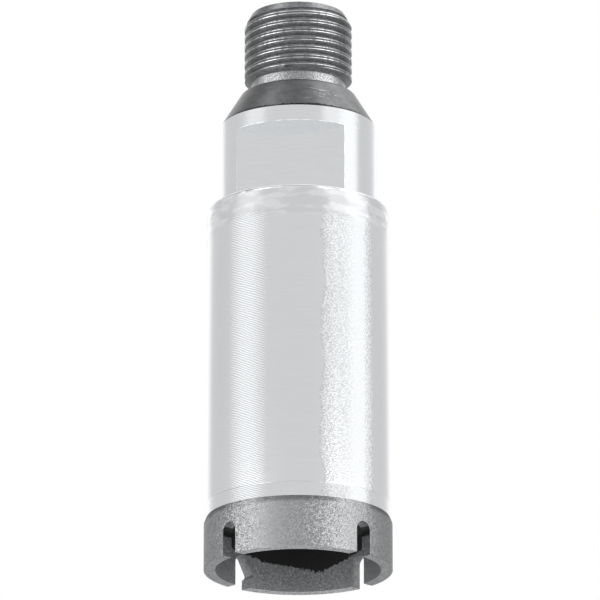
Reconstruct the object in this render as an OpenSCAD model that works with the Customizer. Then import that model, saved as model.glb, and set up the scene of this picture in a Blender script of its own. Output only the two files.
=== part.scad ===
// Wet diamond core bit with a threaded stud for a hollow drill spindle.
// The bit stands on its crown. The origin is the middle of the crown's underside,
// and +Z runs up the bit's axis. One wrench flat faces -Y and the other +Y.

/* [Crown] */
// Outside diameter of the crown
crown_d = 36; // [34:0.5:60]
// Height of the crown from its cutting face to the joint with the barrel
crown_h = 10; // [8:0.5:14]
// How far the crown stands proud of the barrel's outside
outer_relief = 0.4; // [0.2:0.05:0.8]
// How far the crown stands proud of the barrel's bore
inner_relief = 0.2; // [0.1:0.05:0.6]
// Height of the bevel between the barrel's outside and the crown's
bevel_h = 1; // [0.4:0.1:1.5]
// Number of water slots
slot_count = 4; // [3:1:8]
// Width of a water slot
slot_w = 3.4; // [2:0.1:5]
// Height of a water slot, to the top of its round end
slot_h = 6.2; // [4:0.1:6.4]
// Angle between the first slot and the front wrench flat
slot_turn = 51; // [0:1:90]

/* [Barrel] */
// Wall of the barrel tube
barrel_wall = 1.6; // [1.2:0.1:2.4]
// Length of the barrel tube, from the crown to the weld
barrel_len = 56.8; // [40:0.1:400]

/* [Shank] */
// Height of the flange that closes the barrel
flange_h = 5.1; // [4:0.1:10]
// Rounding of the flange's upper edge
flange_round = 1; // [0.3:0.1:1.4]
// Length of the spigot that centres the flange in the barrel
spigot_len = 5; // [3:0.5:10]
// Clearance between the spigot and the barrel's bore
spigot_gap = 0.05; // [0.02:0.01:0.1]
// Diameter of the shank
shank_d = 30.3; // [28:0.1:31.5]
// Length of the shank, from the flange to the cone
shank_len = 16.7; // [12:0.1:30]
// Distance across the two wrench flats
flat_across = 22; // [19:0.5:25]
// Plain round land left between the wrench flats and the cone
flat_land = 3.1; // [1.5:0.1:5]
// Height of the cone above the shank
cone_h = 6.8; // [4:0.1:10]
// Width of the ledge between the cone and the neck
ledge_w = 1.8; // [1.4:0.1:2.4]
// Rounding of the cone's upper edge
cone_round = 1.2; // [0.4:0.1:1.3]

/* [Threaded stud] */
// Major diameter of the stud's pipe thread
thread_d = 20.955; // [16.662, 20.955, 22.911]
// Pitch of the thread
thread_pitch = 1.814; // [1.337, 1.814]
// Width of the thread's crests, as a share of its pitch
crest_share = 0.25; // [0.16:0.01:0.3]
// Length of the stud above the neck
stud_len = 14.2; // [10:0.1:20]
// Height of the lead-in taper at the stud's free end
lead_in_h = 2.4; // [1.5:0.1:3.5]
// Plain width left between the thread's run-out and its first groove
run_out_land = 0.11; // [0.05:0.01:0.5]
// Length of the neck that the thread runs out into
neck_h = 2.2; // [1:0.1:4]
// How far the neck and the lead-in go below the thread's root
neck_relief = 0.12; // [0:0.01:0.3]

/* [Water way] */
// Diameter of the water bore through the shank and stud
bore_d = 9; // [6:0.5:12]
// Chamfer at both mouths of the water bore
bore_chamfer = 0.6; // [0.2:0.1:1]

/* [Hidden] */
$fn = 96;

// Overshoot that lets a cut pass through the surface it leaves by
cut_over = 1;

// Depth of a 55 degree pipe thread with rounded crests and roots, as a share of its pitch
thread_depth_ratio = 0.6403;

// Slope of a thread's flank against the plane across the axis
flank_angle = 27.5;

// Radii of the crown and the barrel, worked inwards from the crown's outside
crown_r = crown_d / 2;
barrel_r = crown_r - outer_relief;
barrel_bore_r = barrel_r - barrel_wall;
crown_bore_r = barrel_bore_r - inner_relief;

// Radii of the shank and the stud
shank_r = shank_d / 2;
spigot_r = barrel_bore_r - spigot_gap;
thread_r = thread_d / 2;
thread_depth = thread_depth_ratio * thread_pitch;
root_r = thread_r - thread_depth;
neck_r = root_r - neck_relief;
cone_top_r = neck_r + ledge_w;
bore_r = bore_d / 2;

// Heights above the cutting face
weld_z = crown_h + barrel_len;
spigot_z = weld_z - spigot_len;
shoulder_z = weld_z + flange_h;
flat_top_z = shoulder_z + shank_len - flat_land;
cone_z = shoulder_z + shank_len;
neck_z = cone_z + cone_h;
stud_z = neck_z + neck_h;
thread_start_z = stud_z + thread_r - neck_r;
stud_top_z = stud_z + stud_len;
lead_in_z = stud_top_z - lead_in_h;

// Grooves of the thread, from the run-out up to where the lead-in taper passes the thread's root
groove_w = thread_pitch * (1 - crest_share);
root_w = groove_w - 2 * thread_depth * tan(flank_angle);
first_groove_z = thread_start_z + run_out_land + groove_w / 2;
last_groove_z = stud_top_z - lead_in_h * neck_relief / (thread_r - neck_r);
groove_count = 1 + floor((last_groove_z - first_groove_z) / thread_pitch);

// Half the angle that the rounding of the cone's upper edge turns through
cone_lean = atan2(shank_r - cone_top_r, cone_h);
cone_turn = 90 - cone_lean;
cone_tangent = cone_round * tan(cone_turn / 2);
arc_steps = 8;

// Points of an arc round [x, y], from one angle to another
function arc(x, y, r, from, to) =
    [for (i = [0 : arc_steps])
        let (a = from + (to - from) * i / arc_steps)
        [x + r * cos(a), y + r * sin(a)]];

// One upright slot with a round upper end, cut outwards through the crown's wall
module water_slot() {
    round_z = slot_h - slot_w / 2;
    rotate([90, 0, 0])
        linear_extrude(crown_r + cut_over) {
            translate([0, round_z]) circle(d = slot_w);
            translate([-slot_w / 2, -cut_over]) square([slot_w, round_z + cut_over]);
        }
}

// Sintered cutting ring: it overhangs the barrel inside and out, so that only the ring rubs in the hole
module diamond_crown() {
    color("dimgray")
        difference() {
            rotate_extrude()
                polygon([
                    [crown_bore_r, 0],
                    [crown_r, 0],
                    [crown_r, crown_h - bevel_h],
                    [barrel_r, crown_h],
                    [crown_bore_r, crown_h]
                ]);
            for (i = [0 : slot_count - 1])
                rotate([0, 0, slot_turn + 360 * i / slot_count]) water_slot();
        }
}

// Steel tube that carries the crown and takes in the core
module core_barrel() {
    color("gainsboro")
        translate([0, 0, crown_h])
            rotate_extrude()
                translate([barrel_bore_r, 0]) square([barrel_wall, barrel_len]);
}

// One groove of the thread in half section, with its middle at height 0 and open outwards
module thread_groove() {
    mouth_r = thread_r + cut_over;
    mouth_w = root_w + 2 * (mouth_r - root_r) * tan(flank_angle);
    polygon([
        [root_r, -root_w / 2],
        [mouth_r, -mouth_w / 2],
        [mouth_r, mouth_w / 2],
        [root_r, root_w / 2]
    ]);
}

// Half section of the turned shank before its thread is cut, from the spigot to the stud's free end
module shank_blank() {
    // The two ends of the cone's rounded upper edge lie one tangent length from its sharp corner
    round_x = cone_top_r - cone_tangent;
    polygon(concat(
        [
            [bore_r + bore_chamfer, spigot_z],
            [spigot_r, spigot_z],
            [spigot_r, weld_z],
            [barrel_r, weld_z]
        ],
        arc(barrel_r - flange_round, shoulder_z - flange_round, flange_round, 0, 90),
        [
            [shank_r, shoulder_z],
            [shank_r, cone_z]
        ],
        arc(round_x, neck_z - cone_round, cone_round, cone_lean, 90),
        [
            [neck_r, neck_z],
            [neck_r, stud_z],
            [thread_r, thread_start_z],
            [thread_r, lead_in_z],
            [neck_r, stud_top_z],
            [bore_r + bore_chamfer, stud_top_z],
            [bore_r, stud_top_z - bore_chamfer],
            [bore_r, spigot_z + bore_chamfer]
        ]
    ));
}

// Half section of the shank with its thread. The grooves have the pipe thread's form and spacing but
// lie level, so they leave out the helix's lead.
module shank_section() {
    difference() {
        shank_blank();
        for (i = [0 : groove_count - 1])
            translate([0, first_groove_z + i * thread_pitch]) thread_groove();
    }
}

// Waste on one side of the shank, down to a wrench flat
module flat_cut() {
    depth = shank_r - flat_across / 2 + cut_over;
    translate([-shank_r - cut_over, -flat_across / 2 - depth, shoulder_z])
        cube([2 * (shank_r + cut_over), depth, flat_top_z - shoulder_z]);
}

// One-piece turned adapter: flange and spigot, shank with two wrench flats, cone, neck and stud
module threaded_shank() {
    color("silver")
        difference() {
            rotate_extrude() shank_section();
            flat_cut();
            rotate([0, 0, 180]) flat_cut();
        }
}

diamond_crown();
core_barrel();
threaded_shank();
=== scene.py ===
import math

import bmesh
import bpy
from mathutils import Matrix, Vector, noise


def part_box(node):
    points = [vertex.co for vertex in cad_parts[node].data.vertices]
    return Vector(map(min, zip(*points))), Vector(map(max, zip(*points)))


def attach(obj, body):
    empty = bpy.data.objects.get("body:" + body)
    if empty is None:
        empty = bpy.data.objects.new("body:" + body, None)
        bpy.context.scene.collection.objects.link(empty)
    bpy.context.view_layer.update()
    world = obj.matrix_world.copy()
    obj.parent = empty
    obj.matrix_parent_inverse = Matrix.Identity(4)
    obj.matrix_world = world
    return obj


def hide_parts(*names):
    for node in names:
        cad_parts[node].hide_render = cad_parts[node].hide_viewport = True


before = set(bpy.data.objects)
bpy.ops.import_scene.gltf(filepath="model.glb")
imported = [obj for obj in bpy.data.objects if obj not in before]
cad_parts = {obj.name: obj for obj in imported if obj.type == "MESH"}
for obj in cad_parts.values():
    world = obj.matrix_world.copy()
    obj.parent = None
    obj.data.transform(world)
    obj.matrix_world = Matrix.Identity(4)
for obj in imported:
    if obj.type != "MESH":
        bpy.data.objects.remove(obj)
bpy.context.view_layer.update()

# Camera. A long lens stands well back from the bit and looks up at it from below the cutting face.
# The front wrench flat is turned a little to the left of the lens, and the bit fills the square from
# edge to edge.
mm = 0.001
camera_turn = math.radians(7.6)
camera_rise = math.radians(-17.44)
camera_distance = 1262 * mm
camera_aim_height = 54.0 * mm
camera_aim_right = 0.35 * mm
camera_lens = 393.0
camera_near = 0.05
camera_far = 50

to_camera = Vector((
    math.sin(camera_turn) * math.cos(camera_rise),
    -math.cos(camera_turn) * math.cos(camera_rise),
    math.sin(camera_rise),
))
to_right = Vector((math.cos(camera_turn), math.sin(camera_turn), 0))
camera_aim = to_right * camera_aim_right + Vector((0, 0, camera_aim_height))
camera_data = bpy.data.cameras.new("camera")
camera_data.lens = camera_lens
camera_data.clip_start = camera_near
camera_data.clip_end = camera_far
camera = bpy.data.objects.new("camera", camera_data)
camera.location = camera_aim + to_camera * camera_distance
camera.rotation_euler = to_camera.to_track_quat("Z", "Y").to_euler()
bpy.context.scene.collection.objects.link(camera)
bpy.context.scene.camera = camera

# Core barrel. A length of steel tube turned to size on a lathe, which leaves fine rings all round it.
# A smooth band and a fine groove stay above the crown, the upper end swells a little from the heat of
# the weld, and the bore is dark drawn steel, painted near-black as painted shade inside the tube.
steps_round = 240
sharp_degrees = 30
merge_distance = 0.0005 * mm
barrel_low, barrel_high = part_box("core_barrel")
barrel_r = barrel_high.x / mm
barrel_foot = barrel_low.z / mm
barrel_top = barrel_high.z / mm
barrel_bore_r = 16.0
barrel_edge = 0.05
outer_wall_depth = 0.9
bore_wall_depth = 0.1

# The smooth band at the foot and the groove above it, whose floor lies between two shares of its width
band_height = 2.7
band_fade = 0.5
band_relief = 0.2
groove_z = barrel_foot + band_height
groove_width = 0.4
groove_depth = 0.08
groove_floor = (0.3, 0.6)

# The ground weld, which reaches over the joint onto the shank, and its lumps
weld_swell = 0.05
swell_height = 3.0
swell_rows = 10
weld_low = 65.2
weld_high = 71.6
weld_fade = 1.4
weld_end = 0.3
weld_relief = 0.1
lump_length = 3.6
lump_height = 1.9
lump_depth = 0.055
small_lump_ratio = 2.3
small_lump_share = 0.5
mottle_strength = 0.3

# The turning marks. The rings run in clear lines down the left of the front, and break up into scales
# down the right.
ring_pitch = 0.46
chatter_turns = 106
chatter_wobble = 12.0
chatter_break = 3.0
chatter_depth = 0.005
scale_depth = 0.042
scale_share_elsewhere = 0.3
scratch_depth = 0.004
lines_begin = (-10.2 * mm, -9.4 * mm)
lines_fade = (-3.6 * mm, -2.2 * mm)
faint_lines = 0.08
line_raggedness = 2.4 * mm
scale_raggedness = 3 * mm

# Each edge of the scaled strip: where it starts and ends, how much it adds, and whether it is ragged
scale_edges = [
    (7.8 * mm, 8.7 * mm, 1.95, True),
    (8.8 * mm, 10.2 * mm, -0.95, False),
    (11.8 * mm, 14.6 * mm, -0.8, True),
    (13.7 * mm, 14.3 * mm, 0.8, False),
    (15.2 * mm, 15.8 * mm, -1.0, False),
]


def spun(profile, closed):
    """A section of (radius, height) points in millimetres, spun once round the bit's axis."""
    mesh = bmesh.new()
    points = [mesh.verts.new((r * mm, 0, z * mm)) for r, z in profile]
    edges = [mesh.edges.new(pair) for pair in zip(points, points[1:])]
    if closed:
        edges.append(mesh.edges.new((points[-1], points[0])))
    bmesh.ops.spin(mesh, geom=points + edges, cent=(0, 0, 0), axis=(0, 0, 1),
                   angle=math.tau, steps=steps_round, use_merge=True)
    return mesh


def face_outwards(mesh):
    """Merges what meets and turns every face outwards."""
    bmesh.ops.remove_doubles(mesh, verts=mesh.verts, dist=merge_distance)
    bmesh.ops.recalc_face_normals(mesh, faces=mesh.faces)


def put_in_scene(name, mesh):
    """Turns a bmesh into an object in the scene."""
    data = bpy.data.meshes.new(name)
    mesh.to_mesh(data)
    mesh.free()
    made = bpy.data.objects.new(name, data)
    bpy.context.scene.collection.objects.link(made)
    return made


def make_piece(name, mesh, node, materials):
    """Turns a bmesh into a smooth-shaded piece that stands for a CAD node."""
    piece = put_in_scene(name, mesh)
    for material in materials:
        piece.data.materials.append(material)
    piece.data.shade_smooth()
    piece.data.set_sharp_from_angle(angle=math.radians(sharp_degrees))
    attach(piece, "root")
    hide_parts(node)


def add_node(material, kind, inputs=None, **settings):
    """Adds a shader node, with its settings and with values or sockets for its inputs."""
    made = material.node_tree.nodes.new(kind)
    for key, value in settings.items():
        setattr(made, key, value)
    for key, value in (inputs or {}).items():
        if isinstance(value, bpy.types.NodeSocket):
            material.node_tree.links.new(value, made.inputs[key])
        else:
            made.inputs[key].default_value = value
    return made


def connect(material, output, target):
    """Joins an output to an input."""
    material.node_tree.links.new(output, target)


def new_metal(name, metallic, roughness):
    """A metal on the bit, with the shader and the position on the object that its patterns read."""
    material = bpy.data.materials.new(name)
    material.use_nodes = True
    shader = material.node_tree.nodes["Principled BSDF"]
    shader.inputs["Metallic"].default_value = metallic
    shader.inputs["Roughness"].default_value = roughness
    place = add_node(material, "ShaderNodeTexCoord").outputs["Object"]
    return material, shader, place


def stretched_noise(material, place, scale, detail=2.0, roughness=0.5):
    """Noise whose grains have the given number of repeats per metre along X, Y and Z."""
    mapped = add_node(material, "ShaderNodeMapping", {"Vector": place, "Scale": scale})
    return add_node(material, "ShaderNodeTexNoise", {
        "Vector": mapped.outputs["Vector"], "Scale": 1.0, "Detail": detail, "Roughness": roughness,
    }).outputs["Fac"]


def maths(material, operation, first, second=0.5, clamp=False):
    """One arithmetic step between two sockets or numbers."""
    return add_node(material, "ShaderNodeMath", {0: first, 1: second},
                    operation=operation, use_clamp=clamp).outputs["Value"]


def times(material, first, second):
    """The product of two sockets or numbers."""
    return maths(material, "MULTIPLY", first, second)


def add_up(material, *weighted):
    """The sum of sockets, each with its weight."""
    total = 0.0
    for value, weight in weighted:
        total = add_node(material, "ShaderNodeMath", {0: value, 1: weight, 2: total},
                         operation="MULTIPLY_ADD").outputs["Value"]
    return total


def ramp(material, value, low, high, out_low, out_high):
    """Maps a value smoothly from one range to another and holds the ends."""
    return add_node(material, "ShaderNodeMapRange", {
        "Value": value, "From Min": low, "From Max": high, "To Min": out_low, "To Max": out_high,
    }, interpolation_type="SMOOTHSTEP").outputs["Result"]


def rising(material, value, low, high):
    """0 below a range of values and 1 above it."""
    return ramp(material, value, low, high, 0.0, 1.0)


def falling(material, value, low, high):
    """1 below a range of values and 0 above it."""
    return ramp(material, value, low, high, 1.0, 0.0)


def grey(value):
    """The slightly cool grey of bare steel."""
    return (value * 0.98, value, value * 1.02, 1)


def mixed_colour(material, factor, dark, light):
    """A colour between two greys or sockets."""
    mix = add_node(material, "ShaderNodeMix", {"Factor": factor}, data_type="RGBA")
    for socket, colour in ((mix.inputs[6], dark), (mix.inputs[7], light)):
        if isinstance(colour, bpy.types.NodeSocket):
            material.node_tree.links.new(colour, socket)
        else:
            socket.default_value = colour
    return mix.outputs[2]


def grey_by(material, value, low, high, start, end):
    """A grey that goes from a start to an end as a value passes through a range."""
    return mixed_colour(material, rising(material, value, low, high), grey(start), grey(end))


def add_relief(material, shader, height, distance):
    """Lets a height, times a distance, stand out of the surface."""
    bump = add_node(material, "ShaderNodeBump", {"Height": height, "Distance": distance, "Strength": 1.0})
    connect(material, bump.outputs["Normal"], shader.inputs["Normal"])


def weld_lump(place):
    """How far the hand-ground weld stands out or in, in millimetres, at a place on the barrel's wall."""
    z = place.z / mm
    reach = min(max((z - weld_low) / weld_fade, 0), 1) * min(max((weld_high - z) / weld_fade, 0), 1)
    around = Vector((place.x, place.y, 0)).normalized() * barrel_r
    spot = Vector((around.x / lump_length, around.y / lump_length, z / lump_height))
    lumps = noise.noise(spot) + small_lump_share * noise.noise(spot * small_lump_ratio)
    return reach * lump_depth * lumps


def lay_weld(mesh):
    """Moves the points of the outer wall out and in, as the ground weld lies."""
    for vert in mesh.verts:
        radius = math.hypot(vert.co.x, vert.co.y)
        if radius > (barrel_r - outer_wall_depth) * mm:
            grown = 1 + weld_lump(vert.co) * mm / radius
            vert.co = Vector((vert.co.x * grown, vert.co.y * grown, vert.co.z))


def mottled_weld(material, place, height, tone):
    """Lets the steel vary from dull to bright, lump by lump, over the hand-ground weld."""
    lumps = stretched_noise(material, place, scale=(170, 170, 620), detail=3)
    dull_to_bright = grey_by(material, lumps, low=0.43, high=0.57, start=0.5, end=0.8)
    on_weld = times(
        material,
        ramp(material, height, weld_low * mm, (weld_low + weld_fade) * mm, 0.0, mottle_strength),
        falling(material, height, weld_high * mm, (weld_high + weld_end) * mm))
    return mixed_colour(material, on_weld, tone, dull_to_bright)


turned_steel, shader, place = new_metal("turned_steel", metallic=1.0, roughness=0.2)
split = add_node(turned_steel, "ShaderNodeSeparateXYZ", {"Vector": place})
side_x = split.outputs["X"]
height = split.outputs["Z"]
angle = maths(turned_steel, "ARCTAN2", split.outputs["Y"], side_x)
scratches = stretched_noise(turned_steel, place, scale=(160, 160, 5200), detail=3, roughness=0.6)
scales = stretched_noise(turned_steel, place, scale=(2300, 2300, 3500), detail=2, roughness=0.6)
wobble = stretched_noise(turned_steel, place, scale=(260, 260, 420), detail=2)
patches = stretched_noise(turned_steel, place, scale=(150, 150, 90), detail=3, roughness=0.6)
chatter = maths(turned_steel, "SINE", add_up(
    turned_steel,
    (height, math.tau / (ring_pitch * mm)),
    (angle, chatter_turns),
    (wobble, chatter_wobble),
    (scales, chatter_break),
))
ragged_x = add_up(turned_steel, (side_x, 1.0), (patches, scale_raggedness))
scaled_strip = add_up(turned_steel, *[
    (rising(turned_steel, ragged_x if is_ragged else side_x, start, end), share)
    for start, end, share, is_ragged in scale_edges])
line_ends = add_up(turned_steel, (side_x, 1.0), (scales, line_raggedness))
lined_strip = times(turned_steel, rising(turned_steel, line_ends, *lines_begin),
                    ramp(turned_steel, line_ends, *lines_fade, 1.0, faint_lines))
relief = add_up(
    turned_steel,
    (times(turned_steel, chatter, lined_strip), chatter_depth),
    (times(turned_steel, scales, scaled_strip), scale_depth),
    (scales, scale_share_elsewhere * scale_depth),
    (scratches, scratch_depth),
)
above_band = ramp(turned_steel, height, groove_z * mm, (groove_z + band_fade) * mm, band_relief, 1.0)
below_weld = ramp(turned_steel, height, weld_low * mm, (weld_low + weld_fade) * mm, 1.0, weld_relief)
relief = times(turned_steel, relief, times(turned_steel, above_band, below_weld))
add_relief(turned_steel, shader, relief, distance=mm)
tone = mixed_colour(turned_steel, scratches, grey(0.58), grey(0.64))
worn_line = grey_by(turned_steel, chatter, low=-0.5, high=0.7, start=0.56, end=0.74)
tone = mixed_colour(turned_steel, lined_strip, tone, worn_line)
speckled = grey_by(turned_steel, scales, low=0.38, high=0.62, start=0.52, end=0.68)
tone = mixed_colour(turned_steel, scaled_strip, tone, speckled)
connect(turned_steel, mottled_weld(turned_steel, place, height, tone), shader.inputs["Base Color"])

# The bore: dark drawn steel, painted near-black as painted shade inside the tube
dark_and_painted_shade_bore, shader, place = new_metal("dark_and_painted_shade_bore_steel", metallic=0.0, roughness=0.9)
shader.inputs["Specular IOR Level"].default_value = 0.1
shade_mottle = stretched_noise(dark_and_painted_shade_bore, place, scale=(300, 300, 120), detail=4, roughness=0.6)
connect(dark_and_painted_shade_bore, mixed_colour(dark_and_painted_shade_bore, shade_mottle, grey(0.035), grey(0.05)), shader.inputs["Base Color"])

barrel_section = [
    (barrel_bore_r, barrel_foot),
    (barrel_r - barrel_edge, barrel_foot),
    (barrel_r, barrel_foot + barrel_edge),
    (barrel_r, groove_z),
    (barrel_r - groove_depth, groove_z + groove_floor[0] * groove_width),
    (barrel_r - groove_depth, groove_z + groove_floor[1] * groove_width),
    (barrel_r, groove_z + groove_width),
    (barrel_r, barrel_top - swell_height),
]
for i in range(1, swell_rows + 1):
    rise = i / swell_rows
    barrel_section.append((barrel_r + weld_swell * (1 - math.cos(math.pi * rise)) / 2,
                           barrel_top - swell_height * (1 - rise)))
barrel_section.append((barrel_bore_r, barrel_top))
barrel_mesh = spun(barrel_section, closed=True)
face_outwards(barrel_mesh)
lay_weld(barrel_mesh)
for face in barrel_mesh.faces:
    middle = face.calc_center_median()
    if math.hypot(middle.x, middle.y) < (barrel_bore_r + bore_wall_depth) * mm:
        face.material_index = 1
make_piece("turned_core_barrel", barrel_mesh, "core_barrel", [turned_steel, dark_and_painted_shade_bore])

# Threaded shank. One steel turning closes the barrel and carries it on the drill. Its flange is welded
# to the tube and ground smooth, two flats are milled for a spanner, and the cone, the neck and the
# right-hand pipe thread above are left as dark bare steel.
shank_low, shank_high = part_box("threaded_shank")
stud_top = shank_high.z / mm
spigot_foot = shank_low.z / mm
spigot_r = 15.95
spigot_edge = 0.3
weld_rows = 9
flange_round = 1.0
flange_steps = 24
shoulder_z = 71.9
shank_r = 15.15
flat_half = 11.0
flat_edge = 0.05
flat_top_z = 85.5
ledge_gap = 0.03
land_edge = 0.14
cone_z = 88.6
cone_edge = 0.02
cone_top_r = 10.996
cone_round = 1.2
cone_steps = 8
neck_z = 95.4
neck_r = 9.196
neck_fillet = 0.15
stud_z = 97.6
bore_r = 4.5
bore_chamfer = 0.6

# The thread: a pitch with a crest, rounded by heights from its corners and depths, two flanks and a root
thread_r = 10.4775
thread_pitch = 1.814
crest_width = 0.42
crest_rounding = [(0.0, 0.0), (0.05, 0.012), (0.10, 0.05)]
crest_top_depth = 0.001
flank_steps = 5
root_width = 0.2
root_r = 9.40
run_out_slope = 1.9
lead_in_height = 2.4
first_crest = 0.7
last_crest_z = 110.4
thread_turn = math.radians(123)
spare_turns = 2
pitches_below = 1.5

# How closely a face or a point has to lie to a size to be taken for it
hair = 0.01
slack = 0.1
wall_share = 0.7
upright = 0.5
facing_down = -0.4
cut_tolerance = 0.0001 * mm

# The shank's metals after the satin steel, by the place that each one has in the piece's list
# bore holds dark steel with painted shade, edge painted edge highlights, ground a painted highlight line
# and milled a ledge painted light
bare, neck, bore, crest, edge, flank, ground, milled = range(1, 9)

# The direction across the bit, along which painted highlights, painted shade and painted shadow are
# placed
across_the_front = Vector((0.991, 0.132, 0))
highlight_raggedness = 1.6 * mm

# Scratches on the cone: their two ends across the bit, their height, slope and width
scratches_on_cone = [
    (3.2, 8.4, 93.4, 0.12, 0.05),
    (5.0, 8.9, 93.0, 0.02, 0.04),
    (4.2, 7.0, 92.4, 0.2, 0.04),
    (6.6, 9.2, 92.2, 0.06, 0.05),
    (5.4, 8.0, 91.5, 0.3, 0.04),
    (2.6, 4.6, 90.6, -0.1, 0.035),
]
scratch_ends = (0.3, 0.4)
scratch_waver = 0.5 * mm
scratch_core = 0.3

# Where the black line at the cone's foot and the painted reflection on the stud's taper fade, measured
# downwards
foot_line_fade = (0.62, 0.52)
taper_fade = (3, 2)


def arc(centre, radius, start, end, count):
    """Points of an arc in the section, from one angle in degrees to another."""
    angles = [math.radians(start + (end - start) * i / count) for i in range(count + 1)]
    return [(centre[0] + radius * math.cos(a), centre[1] + radius * math.sin(a)) for a in angles]


cone_lean = math.degrees(math.atan2(shank_r - cone_top_r, neck_z - cone_z))
cone_tangent = cone_round * math.tan(math.radians(90 - cone_lean) / 2)
shank_section = [
    (neck_r, stud_top),
    (bore_r + bore_chamfer, stud_top),
    (bore_r, stud_top - bore_chamfer),
    (bore_r, spigot_foot + bore_chamfer),
    (bore_r + bore_chamfer, spigot_foot),
    (spigot_r - spigot_edge, spigot_foot),
    (spigot_r, spigot_foot + spigot_edge),
    (spigot_r, barrel_top),
    (barrel_r + weld_swell, barrel_top),
]
weld_height = shoulder_z - flange_round - barrel_top
for i in range(1, weld_rows):
    rise = i / weld_rows
    shank_section.append((barrel_r + weld_swell * (1 + math.cos(math.pi * rise)) / 2,
                          barrel_top + weld_height * rise))
flange_centre = (barrel_r - flange_round, shoulder_z - flange_round)
shank_section += arc(flange_centre, flange_round, 0, 90, flange_steps)
shank_section += [
    (shank_r, shoulder_z),
    (shank_r, flat_top_z - ledge_gap),
    (shank_r, flat_top_z),
    (shank_r, flat_top_z + land_edge),
    (shank_r, cone_z - cone_edge),
    (shank_r, cone_z),
]
cone_centre = (cone_top_r - cone_tangent, neck_z - cone_round)
shank_section += arc(cone_centre, cone_round, cone_lean, 90, cone_steps)
shank_section += [(neck_r + neck_fillet, neck_z), (neck_r, neck_z + neck_fillet), (neck_r, stud_z)]
shank_mesh = spun(shank_section, closed=False)

# The wrench flats: the round wall between the shoulder and the land is cut by each flat's plane,
# and what stands outside the plane is pressed back onto it.
low_edge = (shoulder_z - hair) * mm
high_edge = (flat_top_z - ledge_gap / 2) * mm
inner_limit = (shank_r - hair) * mm * wall_share
for side in (-1, 1):
    wall = [f for f in shank_mesh.faces
            if all(low_edge < v.co.z < high_edge and math.hypot(v.co.x, v.co.y) > inner_limit
                   for v in f.verts)
            and abs(f.normal.z) < upright and f.calc_area() > 0]
    around = list({e for f in wall for e in f.edges}) + list({v for f in wall for v in f.verts})
    for inset in (flat_edge, 0):
        cut_wall = bmesh.ops.bisect_plane(
            shank_mesh, geom=wall + around, dist=cut_tolerance,
            plane_co=(0, side * (flat_half - inset) * mm, 0), plane_no=(0, side, 0))
        wall = [g for g in cut_wall["geom"] if isinstance(g, bmesh.types.BMFace)]
        around = [g for g in cut_wall["geom"] if not isinstance(g, bmesh.types.BMFace)]
for vert in shank_mesh.verts:
    on_wall = abs(math.hypot(vert.co.x, vert.co.y) - shank_r * mm) < 2 * hair * mm
    if on_wall and low_edge < vert.co.z < high_edge and abs(vert.co.y) > flat_half * mm:
        vert.co.y = math.copysign(flat_half * mm, vert.co.y)

# The thread: the outline of one pitch is spun once round while it rises by the pitch, and the turn is
# then repeated up the stud. What stands outside the lead-in taper, the run-out or the ends is pressed in.
edge_height, edge_drop = crest_rounding[-1]
edge_r = thread_r - edge_drop
flank_height = (thread_pitch - crest_width - 2 * edge_height - root_width) / 2
thread_outline = [(root_r, 0.0), (root_r, root_width / 2)]
for i in range(1, flank_steps):
    part = i / flank_steps
    thread_outline.append((root_r + (edge_r - root_r) * part, root_width / 2 + flank_height * part))
for away, drop in reversed(crest_rounding):
    thread_outline.append((thread_r - drop, (thread_pitch - crest_width) / 2 - away))
thread_outline += [(r, thread_pitch - z) for r, z in reversed(thread_outline)]
thread_turns = math.ceil((stud_top - stud_z) / thread_pitch) + spare_turns
first_z = stud_z - pitches_below * thread_pitch
thread_mesh = bmesh.new()
ridge = [thread_mesh.verts.new((r * mm, 0, (first_z + z) * mm)) for r, z in thread_outline]
ridge_edges = [thread_mesh.edges.new(pair) for pair in zip(ridge, ridge[1:])]
bmesh.ops.spin(thread_mesh, geom=ridge + ridge_edges, cent=(0, 0, 0), axis=(0, 0, 1),
               dvec=(0, 0, thread_pitch * mm / steps_round), angle=math.tau, steps=steps_round)
for face in thread_mesh.faces:
    radius = sum(math.hypot(v.co.x, v.co.y) for v in face.verts) / len(face.verts) / mm
    if edge_r < radius < thread_r - crest_top_depth:
        face.material_index = crest
    elif radius < edge_r:
        face.material_index = flank
bmesh.ops.rotate(thread_mesh, verts=thread_mesh.verts, cent=(0, 0, 0),
                 matrix=Matrix.Rotation(thread_turn, 3, "Z"))
one_turn = thread_mesh.verts[:] + thread_mesh.edges[:] + thread_mesh.faces[:]
for i in range(1, thread_turns):
    copied = bmesh.ops.duplicate(thread_mesh, geom=one_turn)["geom"]
    bmesh.ops.translate(thread_mesh, verts=[v for v in copied if isinstance(v, bmesh.types.BMVert)],
                        vec=(0, 0, i * thread_pitch * mm))
for vert in thread_mesh.verts:
    z = min(max(vert.co.z / mm, stud_z), stud_top)
    limit = min(
        thread_r,
        neck_r + (z - stud_z) * run_out_slope,
        neck_r + (thread_r - neck_r) * (stud_top - z) / lead_in_height,
    )
    radius = math.hypot(vert.co.x, vert.co.y)
    shrink = min(radius, limit * mm) / radius
    vert.co = Vector((vert.co.x * shrink, vert.co.y * shrink, z * mm))
thread_data = bpy.data.meshes.new("thread")
thread_mesh.to_mesh(thread_data)
thread_mesh.free()
shank_mesh.from_mesh(thread_data)
face_outwards(shank_mesh)
lay_weld(shank_mesh)


def between(material, value, rise, fall):
    """1 from a rise up to a fall and 0 outside them. Both are ranges in millimetres."""
    return times(material, rising(material, value, rise[0] * mm, rise[1] * mm),
                 falling(material, value, fall[0] * mm, fall[1] * mm))


def across_bit(material, place):
    """How far a place lies to one side or the other of the bit's axis."""
    return add_node(material, "ShaderNodeVectorMath", {0: place, 1: across_the_front},
                    operation="DOT_PRODUCT").outputs["Value"]


def away_from(material, value, middle):
    """How far a value is from a middle one in millimetres, on either side."""
    return maths(material, "ABSOLUTE", maths(material, "SUBTRACT", value, middle * mm))


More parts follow.
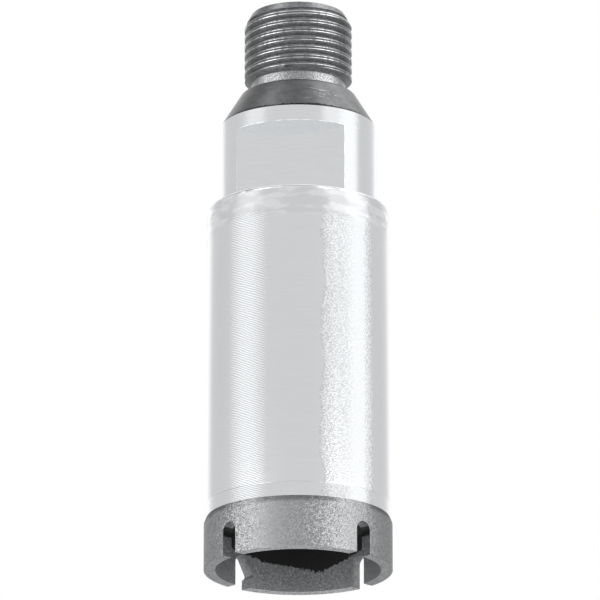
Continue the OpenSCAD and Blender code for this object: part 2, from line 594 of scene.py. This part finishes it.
def painted_highlight_patches(material, place, ragged):
    """Painted highlight patches on both sides of the front and the back of the stud."""
    across = across_bit(material, place)
    aside = add_up(material, (maths(material, "ABSOLUTE", across), 1.0), (ragged, highlight_raggedness))
    return between(material, aside, rise=(2.0, 5.4), fall=(7.4, 9.0))


# The satin steel of the shank. Painted shade darkens the shoulder's rounding on both sides of the front,
# where the lamps' highlights fall.
shank_steel, shader, place = new_metal("satin_shank_steel", metallic=1.0, roughness=0.18)
height = add_node(shank_steel, "ShaderNodeSeparateXYZ", {"Vector": place}).outputs["Z"]
fine = stretched_noise(shank_steel, place, scale=(300, 300, 4200), detail=3, roughness=0.6)
scales = stretched_noise(shank_steel, place, scale=(1100, 1100, 1500), detail=2, roughness=0.6)
lumps = stretched_noise(shank_steel, place, scale=(260, 260, 700), detail=2)
fine_depth = 0.004
weld_depth = 0.16
land_depth = 0.04
weld_softness = 0.6
land_softness = 0.3
weld_zone = falling(shank_steel, height, (shoulder_z - weld_softness) * mm, shoulder_z * mm)
land_zone = rising(shank_steel, height, flat_top_z * mm, (flat_top_z + land_softness) * mm)
relief = add_up(
    shank_steel,
    (fine, fine_depth),
    (times(shank_steel, lumps, weld_zone), weld_depth),
    (times(shank_steel, scales, land_zone), land_depth),
)
add_relief(shank_steel, shader, relief, distance=mm)
tone = mixed_colour(shank_steel, fine, grey(0.58), grey(0.66))
tone = mottled_weld(shank_steel, place, height, tone)
# Painted shade on the shoulder's rounding, in strips on both sides of the front where the lamps'
# highlights fall
aside = away_from(shank_steel, across_bit(shank_steel, place), middle=-1)
painted_shade_patches = between(shank_steel, aside, rise=(5, 8.6), fall=(8.8, 9.6))
on_rounding = between(
    shank_steel, height,
    rise=(shoulder_z - 0.98, shoulder_z - 0.75),
    fall=(shoulder_z - 0.4, shoulder_z - 0.26))
painted_shade_patches = times(shank_steel, painted_shade_patches, on_rounding)
connect(shank_steel, mixed_colour(shank_steel, painted_shade_patches, tone, grey(0.3)), shader.inputs["Base Color"])

# The edges of the flats and of the land, painted bright as painted edge highlights
painted_highlight_edge, shader, place = new_metal("painted_highlight_edge_steel", metallic=1.0, roughness=0.2)
lengths = stretched_noise(painted_highlight_edge, place, scale=(420, 420, 420), detail=3, roughness=0.6)
tone = grey_by(painted_highlight_edge, lengths, low=0.4, high=0.6, start=0.62, end=0.93)
connect(painted_highlight_edge, tone, shader.inputs["Base Color"])
lumps = stretched_noise(painted_highlight_edge, place, scale=(260, 260, 700), detail=2)
add_relief(painted_highlight_edge, shader, lumps, distance=weld_depth * mm)

# The ledge under the land, painted almost white as painted light against the shade under the land
painted_light_ledge, shader, place = new_metal("painted_light_ledge_steel", metallic=1.0, roughness=0.24)
fine = stretched_noise(painted_light_ledge, place, scale=(600, 2600, 600), detail=2)
white = (1.0, 1.0, 1.0, 1.0)
tone = mixed_colour(painted_light_ledge, fine, grey(0.93), white)
connect(painted_light_ledge, tone, shader.inputs["Base Color"])

# The top of the shoulder's rounding, a dull, rough strip whose light grey is a painted highlight line
painted_highlight_shoulder, shader, place = new_metal("painted_highlight_shoulder_steel", metallic=0.0, roughness=0.7)
highlight_share = 0.34
highlight_top = 0.0005
shader.inputs["Specular IOR Level"].default_value = 0.2
shader.inputs["Specular Tint"].default_value = (0.5, 0.5, 0.5, 1.0)
lengths = stretched_noise(painted_highlight_shoulder, place, scale=(420, 420, 420), detail=3, roughness=0.6)
tone = grey_by(painted_highlight_shoulder, lengths, low=0.4, high=0.6, start=0.66, end=0.78)
connect(painted_highlight_shoulder, tone, shader.inputs["Base Color"])

# The dark steel of the cone and the stud's end. A black line runs round the cone's foot, thicker to
# the right of the front, and light scratches cross the cone.
bare_steel, shader, place = new_metal("dark_bare_steel", metallic=1.0, roughness=0.32)
split = add_node(bare_steel, "ShaderNodeSeparateXYZ", {"Vector": place})
height = split.outputs["Z"]
patches = stretched_noise(bare_steel, place, scale=(420, 420, 600), detail=4, roughness=0.65)
grain = stretched_noise(bare_steel, place, scale=(1800, 1800, 3200), detail=2, roughness=0.6)
tone = grey_by(bare_steel, patches, low=0.35, high=0.65, start=0.1, end=0.135)
off_thick = away_from(bare_steel, across_bit(bare_steel, place), middle=2.9)
thickened = ramp(bare_steel, off_thick, 0.2 * mm, 2.2 * mm, -0.2 * mm, 0.0)
ragged = add_up(bare_steel, (height, 1.0), (patches, -0.9 * mm), (thickened, 1.0), (grain, -1.0 * mm))
foot_line = falling(bare_steel, ragged,
                    (cone_z - foot_line_fade[0]) * mm, (cone_z - foot_line_fade[1]) * mm)
tone = mixed_colour(bare_steel, foot_line, tone, grey(0.02))
# The stud's taper is painted lighter, as a painted reflection
taper_zone = rising(bare_steel, height, (stud_top - taper_fade[0]) * mm, (stud_top - taper_fade[1]) * mm)
painted_taper_reflection = grey_by(bare_steel, grain, low=0.35, high=0.65, start=0.13, end=0.21)
tone = mixed_colour(bare_steel, taper_zone, tone, painted_taper_reflection)
front = falling(bare_steel, split.outputs["Y"], -1 * mm, 1 * mm)
broken = rising(bare_steel, grain, 0.46, 0.56)
for start_x, end_x, start_z, slope, width in scratches_on_cone:
    length = end_x - start_x
    along = maths(bare_steel, "SUBTRACT", split.outputs["X"], start_x * mm)
    line = add_up(bare_steel, (height, 1.0), (along, slope), (patches, scratch_waver))
    off_line = away_from(bare_steel, line, start_z)
    within = between(bare_steel, along,
                     rise=(0.0, scratch_ends[0]), fall=(length - scratch_ends[1], length))
    scratch = times(bare_steel, times(bare_steel, within, front),
                    falling(bare_steel, off_line, scratch_core * width * mm, width * mm))
    tone = mixed_colour(bare_steel, times(bare_steel, scratch, broken), tone, grey(0.48))
connect(bare_steel, tone, shader.inputs["Base Color"])
add_relief(bare_steel, shader, grain, distance=0.012 * mm)

# The rounded shoulders of the crests, worn by spindles
worn_crest, shader, place = new_metal("worn_crest_steel", metallic=1.0, roughness=0.25)
wear = stretched_noise(worn_crest, place, scale=(1300, 1300, 500), detail=2, roughness=0.6)
tone = grey_by(worn_crest, wear, low=0.38, high=0.55, start=0.3, end=0.68)
# Painted highlight patches on both sides of the front and the back
wear_and_highlight_tone = grey_by(worn_crest, wear, low=0.38, high=0.52, start=0.4, end=0.93)
tone = mixed_colour(worn_crest, painted_highlight_patches(worn_crest, place, wear), tone, wear_and_highlight_tone)
connect(worn_crest, tone, shader.inputs["Base Color"])

# The flanks and the roots, with painted shade darkening them towards both sides
thread_flank, shader, place = new_metal("thread_flank_steel", metallic=0.7, roughness=0.45)
grain = stretched_noise(thread_flank, place, scale=(1500, 1500, 1500), detail=3, roughness=0.65)
tone = grey_by(thread_flank, grain, low=0.35, high=0.65, start=0.2, end=0.31)
# Painted shade darkens the flanks towards both sides
off_middle = maths(thread_flank, "ABSOLUTE", across_bit(thread_flank, place))
painted_side_shade = ramp(thread_flank, off_middle, 7 * mm, 9.6 * mm, 0.0, 0.5)
connect(thread_flank, mixed_colour(thread_flank, painted_side_shade, tone, grey(0.1)), shader.inputs["Base Color"])

# The neck, where the turning tool has chattered
bright_neck, shader, place = new_metal("bright_neck_steel", metallic=1.0, roughness=0.28)
chatter = stretched_noise(bright_neck, place, scale=(4300, 4300, 4600), detail=2, roughness=0.6)
tone = grey_by(bright_neck, chatter, low=0.42, high=0.58, start=0.2, end=0.36)
# Painted highlight patches on both sides of the front and the back
wear_and_highlight_tone = grey_by(bright_neck, chatter, low=0.42, high=0.58, start=0.28, end=0.72)
tone = mixed_colour(bright_neck, painted_highlight_patches(bright_neck, place, chatter), tone, wear_and_highlight_tone)
connect(bright_neck, tone, shader.inputs["Base Color"])
add_relief(bright_neck, shader, chatter, distance=0.07 * mm)

# Each face takes the metal of its place. The crests and flanks already have theirs.
for face in shank_mesh.faces:
    middle = face.calc_center_median()
    radius = math.hypot(middle.x, middle.y) / mm
    z = middle.z / mm
    out = abs(middle.y) / mm
    beyond_flat = abs(middle.y) > flat_half * mm
    if radius < bore_r + bore_chamfer + slack / 2 or z < barrel_top - slack:
        face.material_index = bore
    elif neck_z + slack < z < stud_z and radius < neck_r + slack:
        face.material_index = neck
    elif z > stud_z and face.normal.z < facing_down and not stud_z + first_crest < z < last_crest_z:
        face.material_index = flank
    elif z > last_crest_z:
        face.material_index = bare
    elif z > stud_z and face.material_index:
        continue
    elif z > cone_z:
        face.material_index = bare
    elif flat_top_z < z < flat_top_z + land_edge and beyond_flat:
        face.material_index = edge
    elif flat_top_z - ledge_gap < z < flat_top_z + hair and beyond_flat:
        face.material_index = milled
    elif shoulder_z < z < flat_top_z and flat_half - flat_edge < out < flat_half - hair / 2:
        face.material_index = edge
    elif shoulder_z - highlight_share * flange_round < z < shoulder_z - highlight_top:
        face.material_index = ground
make_piece("turned_threaded_shank", shank_mesh, "threaded_shank",
           [shank_steel, bare_steel, bright_neck, dark_and_painted_shade_bore, worn_crest, painted_highlight_edge, thread_flank,
            painted_highlight_shoulder, painted_light_ledge])

# Diamond crown. Metal powder and diamond grit are pressed and sintered into one ring, which is brazed
# to the barrel. It stands proud of the tube inside and out, a bevel leads up to the tube, and four
# round-topped slots let the flushing water out.
crown_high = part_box("diamond_crown")[1]
crown_r = crown_high.x / mm
crown_height = crown_high.z / mm
crown_bore_r = 15.8
crown_edge = 0.06
underside_rows = 5
wall_rows = 14
bevel_height = 1.0
grit_per_metre = 5800
bore_grit_per_metre = 5600

# The slots. One has lost a piece of its side, whose outline is given from its round top down.
slot_width = 3.4
slot_height = 6.2
slot_count = 4
slot_turn = math.radians(51)
slot_steps = 20
slot_foot = -1.0
slot_start = 2
slot_reach = 8
chipped_slot = 2
chip_angle = 125
chip_steps = 14
chip_outline = [(-2.27, 3.5), (-2.65, 2.7), (-2.4, 2.2), (-2.0, 1.9), (-1.95, 0.3), (-2.1, slot_foot)]

# A painted shadow blackens the crown's bore down to a line, lowest at one place of the back
shadow_low_x = 4.5
shadow_low_z = 3.9
shadow_left_slope = 0.18
shadow_right_slope = 0.41
shadow_drop_in_front = 2.0
shadow_fade = (1.8, 1.5)

# The crown's faces in the slots and in the bore, by the place that their metal has in the piece's list
cut_face, bore_face = 1, 2
straight_down = -0.99

underside_width = crown_r - crown_bore_r - 2 * crown_edge
wall_height = crown_height - bevel_height - crown_edge
bore_height = crown_height - crown_edge
crown_section = [(crown_bore_r, crown_edge), (crown_bore_r + crown_edge, 0.0)]
crown_section += [(crown_bore_r + crown_edge + underside_width * i / underside_rows, 0.0)
                  for i in range(1, underside_rows + 1)]
crown_section += [(crown_r, crown_edge)]
crown_section += [(crown_r, crown_edge + wall_height * i / wall_rows) for i in range(1, wall_rows + 1)]
crown_section += [(barrel_r, crown_height), (crown_bore_r, crown_height)]
crown_section += [(crown_bore_r, crown_edge + bore_height * i / wall_rows)
                  for i in range(wall_rows - 1, 0, -1)]
crown_mesh = spun(crown_section, closed=True)
face_outwards(crown_mesh)


def grit_facets(material, place, grains_per_metre, tilt):
    """A random grey level for each grain of grit, and the surface's normal tilted grain by grain."""
    grains = add_node(material, "ShaderNodeTexVoronoi", {"Vector": place, "Scale": grains_per_metre})
    parts = add_node(material, "ShaderNodeSeparateColor", {"Color": grains.outputs["Color"]})
    centred = add_node(material, "ShaderNodeVectorMath", {0: grains.outputs["Color"], 1: (0.5, 0.5, 0.5)},
                       operation="SUBTRACT")
    surface = add_node(material, "ShaderNodeNewGeometry")
    leaned = add_node(material, "ShaderNodeVectorMath", {
        0: centred.outputs["Vector"], 1: tilt, 2: surface.outputs["Normal"],
    }, operation="MULTIPLY_ADD")
    normal = add_node(material, "ShaderNodeVectorMath", {0: leaned.outputs["Vector"]},
                      operation="NORMALIZE")
    return parts.outputs["Red"], normal.outputs["Vector"]


# The ring's outside and underside. The underside is rubbed, and painted shade darkens the
# bevel, least on two strips on both sides of the front that carry painted highlights.
sintered, shader, place = new_metal("sintered_diamond_crown", metallic=0.95, roughness=0.36)
shader.inputs["Anisotropic"].default_value = 0.9
shader.inputs["Anisotropic Rotation"].default_value = 0.25
shader.inputs["Specular Tint"].default_value = (0.45, 0.45, 0.45, 1.0)
round_the_ring = add_node(sintered, "ShaderNodeTangent", direction_type="RADIAL", axis="Z")
connect(sintered, round_the_ring.outputs["Tangent"], shader.inputs["Tangent"])
height = add_node(sintered, "ShaderNodeSeparateXYZ", {"Vector": place}).outputs["Z"]
level, facet_normal = grit_facets(sintered, place, grit_per_metre, tilt=(0.38, 0.38, 1.0))
clouds = stretched_noise(sintered, place, scale=(260, 260, 260), detail=3, roughness=0.6)
speckle = add_up(sintered, (level, 0.85), (clouds, 0.15))
tone = mixed_colour(sintered, speckle, grey(0.205), grey(0.455))
underside = ramp(sintered, height, 0.02 * mm, 0.08 * mm, 0.8, 0.0)
wear_and_highlight_tone = grey_by(sintered, level, low=0.7, high=0.8, start=0.52, end=0.12)
tone = mixed_colour(sintered, underside, tone, wear_and_highlight_tone)
# Painted shade on the bevel, less on the strips of painted highlight on both sides of the front
ragged = add_up(sintered, (height, 1.0), (clouds, 0.8 * mm))
painted_bevel_shade = ramp(sintered, ragged, (crown_height - bevel_height) * mm, (crown_height - 0.2) * mm, 0.0, 0.8)
off_middle = maths(sintered, "ABSOLUTE", across_bit(sintered, place))
off_highlight_strips = away_from(sintered, off_middle, middle=10.5)
painted_bevel_shade = times(sintered, painted_bevel_shade, ramp(sintered, off_highlight_strips, 2 * mm, 4 * mm, 0.1, 1.0))
tone = mixed_colour(sintered, painted_bevel_shade, tone, grey(0.13))
connect(sintered, tone, shader.inputs["Base Color"])
connect(sintered, facet_normal, shader.inputs["Normal"])

# The ring's bore, with painted shadow down to its ragged line
crown_bore, shader, place = new_metal("sintered_crown_bore", metallic=0.85, roughness=0.5)
split = add_node(crown_bore, "ShaderNodeSeparateXYZ", {"Vector": place})
powder = stretched_noise(crown_bore, place, scale=(1900, 1900, 1900), detail=3, roughness=0.7)
clouds = stretched_noise(crown_bore, place, scale=(260, 260, 260), detail=3, roughness=0.6)
level, facet_normal = grit_facets(crown_bore, place, bore_grit_per_metre, tilt=(0.1, 0.1, 0.2))
tone = mixed_colour(crown_bore, level, grey(0.27), grey(0.43))
# The painted shadow's ragged V-shaped line
from_low = maths(crown_bore, "SUBTRACT", across_bit(crown_bore, place), shadow_low_x * mm)
shadow_line = maths(crown_bore, "MAXIMUM", times(crown_bore, from_low, -shadow_left_slope),
                  times(crown_bore, from_low, shadow_right_slope))
front = falling(crown_bore, split.outputs["Y"], -3 * mm, 3 * mm)
shadow_edge = add_up(
    crown_bore,
    (shadow_line, 1.0),
    (front, -shadow_drop_in_front * mm),
    (powder, 1.8 * mm),
    (clouds, 1.5 * mm),
)
above_line = maths(crown_bore, "SUBTRACT", split.outputs["Z"], shadow_edge)
painted_shadow = rising(crown_bore, above_line,
                (shadow_low_z - shadow_fade[0]) * mm, (shadow_low_z - shadow_fade[1]) * mm)
tone = mixed_colour(crown_bore, painted_shadow, tone, grey(0.036))
connect(crown_bore, tone, shader.inputs["Base Color"])
connect(crown_bore, ramp(crown_bore, painted_shadow, 0.0, 1.0, 0.5, 0.9), shader.inputs["Roughness"])
connect(crown_bore, facet_normal, shader.inputs["Normal"])

# The slots' walls, with painted shadow under the round tops of the front ones
cut_sintered, shader, place = new_metal("cut_sintered_crown", metallic=0.7, roughness=0.5)
split = add_node(cut_sintered, "ShaderNodeSeparateXYZ", {"Vector": place})
height = split.outputs["Z"]
powder = stretched_noise(cut_sintered, place, scale=(1900, 1900, 1900), detail=3, roughness=0.7)
tone = grey_by(cut_sintered, powder, low=0.3, high=0.7, start=0.13, end=0.24)
ragged = add_up(cut_sintered, (height, 1.0), (powder, 1.2 * mm))
# Painted shadow on the upper part of the front slots' walls
painted_shadow = times(
    cut_sintered,
    rising(cut_sintered, ragged, 4.3 * mm, 4.6 * mm),
    falling(cut_sintered, height, (slot_height - 0.75) * mm, (slot_height - 0.45) * mm))
painted_shadow = times(cut_sintered, painted_shadow, falling(cut_sintered, split.outputs["Y"], -1 * mm, 1 * mm))
connect(cut_sintered, mixed_colour(cut_sintered, painted_shadow, tone, grey(0.02)), shader.inputs["Base Color"])
add_relief(cut_sintered, shader, powder, distance=0.15 * mm)

# The slots are cut through the ring's wall by a tool with one bar for each
slot_tool = bmesh.new()
slot_centre = (0, slot_height - slot_width / 2)
for i in range(slot_count):
    if i == chipped_slot:
        outline = [(slot_width / 2, slot_foot)]
        outline += arc(slot_centre, slot_width / 2, 0, chip_angle, chip_steps)
        outline += chip_outline
    else:
        outline = [(-slot_width / 2, slot_foot), (slot_width / 2, slot_foot)]
        outline += arc(slot_centre, slot_width / 2, 0, 180, slot_steps)
    corners = [slot_tool.verts.new((x * mm, -(crown_r + slot_start) * mm, z * mm)) for x, z in outline]
    end_face = slot_tool.faces.new(corners)
    pushed = bmesh.ops.extrude_face_region(slot_tool, geom=[end_face])
    far_verts = [v for v in pushed["geom"] if isinstance(v, bmesh.types.BMVert)]
    bmesh.ops.translate(slot_tool, verts=far_verts, vec=(0, slot_reach * mm, 0))
    bmesh.ops.rotate(slot_tool, verts=corners + far_verts, cent=(0, 0, 0),
                     matrix=Matrix.Rotation(slot_turn + math.tau * i / slot_count, 3, "Z"))
bmesh.ops.recalc_face_normals(slot_tool, faces=slot_tool.faces)
cutter = put_in_scene("slot_tool", slot_tool)
blank = put_in_scene("crown_blank", crown_mesh)
cut = blank.modifiers.new("slots", "BOOLEAN")
cut.operation = "DIFFERENCE"
cut.solver = "EXACT"
cut.object = cutter
cut_blank = blank.evaluated_get(bpy.context.evaluated_depsgraph_get())
crown_mesh = bmesh.new()
crown_mesh.from_mesh(cut_blank.to_mesh())
for scrap in (blank, cutter):
    bpy.data.objects.remove(scrap)
face_outwards(crown_mesh)
for face in crown_mesh.faces:
    middle = face.calc_center_median()
    radius = math.hypot(middle.x, middle.y) / mm
    in_wall = crown_bore_r + 2 * crown_edge < radius < crown_r - slack
    in_slot = 2 * hair < middle.z / mm < slot_height + 2 * hair and face.normal.z > straight_down
    if in_wall and in_slot:
        face.material_index = cut_face
    elif radius < crown_bore_r + slack / 2:
        face.material_index = bore_face
make_piece("slotted_diamond_crown", crown_mesh, "diamond_crown",
           [sintered, cut_sintered, crown_bore])

# Floor. A pale sheet under the bit, which is the stage and no part of it. It is plain from above, and
# from below it lets the camera and the light through, because the photograph looks up at the bit.
floor_size = 1.5
floor_gap = 0.02 * mm
floor_sides = 96
floor_mesh = bmesh.new()
bmesh.ops.create_circle(floor_mesh, cap_ends=True, segments=floor_sides, radius=floor_size,
                        matrix=Matrix.Translation((0, 0, -floor_gap)))
pale_sheet = bpy.data.materials.new("pale_sheet")
pale_sheet.use_nodes = True
pale_sheet.node_tree.nodes.clear()
ray = add_node(pale_sheet, "ShaderNodeLightPath")
side = add_node(pale_sheet, "ShaderNodeNewGeometry")
seen = times(pale_sheet, ray.outputs["Is Camera Ray"],
             maths(pale_sheet, "SUBTRACT", 1.0, side.outputs["Backfacing"]))
clear = add_node(pale_sheet, "ShaderNodeBsdfTransparent")
matt = add_node(pale_sheet, "ShaderNodeBsdfDiffuse", {"Color": (0.9, 0.9, 0.9, 1.0)})
sheet = add_node(pale_sheet, "ShaderNodeMixShader",
                 {0: seen, 1: clear.outputs["BSDF"], 2: matt.outputs["BSDF"]})
sheet_output = add_node(pale_sheet, "ShaderNodeOutputMaterial")
connect(pale_sheet, sheet.outputs["Shader"], sheet_output.inputs["Surface"])
floor = put_in_scene("floor", floor_mesh)
floor.data.materials.append(pale_sheet)

# Studio. White walls stand all round, so steel that faces no lamp shows as white a room as the camera
# sees. Soft lamps stand at both sides of the camera, behind the bit and above on the right, and black
# cloths hang beside it.
world = bpy.data.worlds.new("studio")
bpy.context.scene.world = world
world.use_nodes = True
world.node_tree.nodes.clear()
wall_light = 0.95
degree = math.radians(1)
ray = add_node(world, "ShaderNodeLightPath")
direction = add_node(world, "ShaderNodeTexCoord").outputs["Generated"]
to_front = Vector((math.sin(camera_turn), -math.cos(camera_turn), 0))
ahead, across, upward = [
    add_node(world, "ShaderNodeVectorMath", {0: direction, 1: way},
             operation="DOT_PRODUCT").outputs["Value"]
    for way in (to_front, to_right, Vector((0, 0, 1)))]
turn = maths(world, "ARCTAN2", across, ahead)
turn_either_way = maths(world, "ABSOLUTE", turn)
rise = maths(world, "ARCSINE", upward)


def panel(angle, middle, half, blur, height_middle, height_half, height_blur):
    """One soft-edged panel on the walls. Angles are in degrees round the bit and upwards."""
    aside = maths(world, "ABSOLUTE", maths(world, "SUBTRACT", angle, middle * degree))
    above = maths(world, "ABSOLUTE", maths(world, "SUBTRACT", rise, height_middle * degree))
    return times(
        world,
        falling(world, aside, (half - blur) * degree, (half + blur) * degree),
        falling(world, above, (height_half - height_blur) * degree, (height_half + height_blur) * degree))


# Each panel with its light. A cloth takes light away.
lamps = add_up(
    world,
    (panel(turn, -67, 16, 9, 17, 40, 12), 0.31),
    (panel(turn, -74, 22, 9, 56, 13, 7), 2.7),
    (panel(turn, -72, 22, 9, -35, 16, 7), 2.6),
    (panel(turn, -42, 14, 12, 53, 13, 7), 0.4),
    (panel(turn, -42, 14, 12, -31, 16, 7), 0.4),
    (panel(turn, 52, 15, 4, 17, 40, 12), 0.36),
    (panel(turn, 82, 15.5, 5, 17, 40, 12), 0.6),
    (panel(turn, 66, 26, 6, 53, 13, 7), 1.7),
    (panel(turn, 66, 26, 6, -31, 16, 7), 1.6),
    (panel(turn, 112, 38, 12, 62, 18, 9), 1.2),
    (panel(turn, -155, 13, 9, 15, 14, 6), 0.4),
    (panel(turn, 159, 12, 9, 15, 14, 6), 0.3),
    (panel(turn, -115, 30, 12, 58, 18, 9), -0.5),
    (panel(turn_either_way, 122, 24, 14, -33, 18, 9), -0.9),
    (panel(turn_either_way, 116, 20, 8, 17, 18, 6), -0.07),
    (panel(turn_either_way, 180, 7, 3, 12, 8, 3), -0.3),
)
seen = maths(world, "ADD", ray.outputs["Is Camera Ray"], ray.outputs["Is Transmission Ray"], clamp=True)
seen_or_mirrored = maths(world, "ADD", seen, ray.outputs["Is Glossy Ray"], clamp=True)
walls = add_node(world, "ShaderNodeMix", {
    "Factor": seen_or_mirrored, "A": wall_light, "B": 1.0,
}, data_type="FLOAT").outputs["Result"]
unseen_lamps = times(world, lamps, maths(world, "SUBTRACT", 1.0, seen))
strength = maths(world, "ADD", walls, unseen_lamps)
background = add_node(world, "ShaderNodeBackground", {"Color": white, "Strength": strength})
world_output = add_node(world, "ShaderNodeOutputWorld")
connect(world, background.outputs["Background"], world_output.inputs["Surface"])

bpy.context.scene.view_settings.view_transform = "Standard"
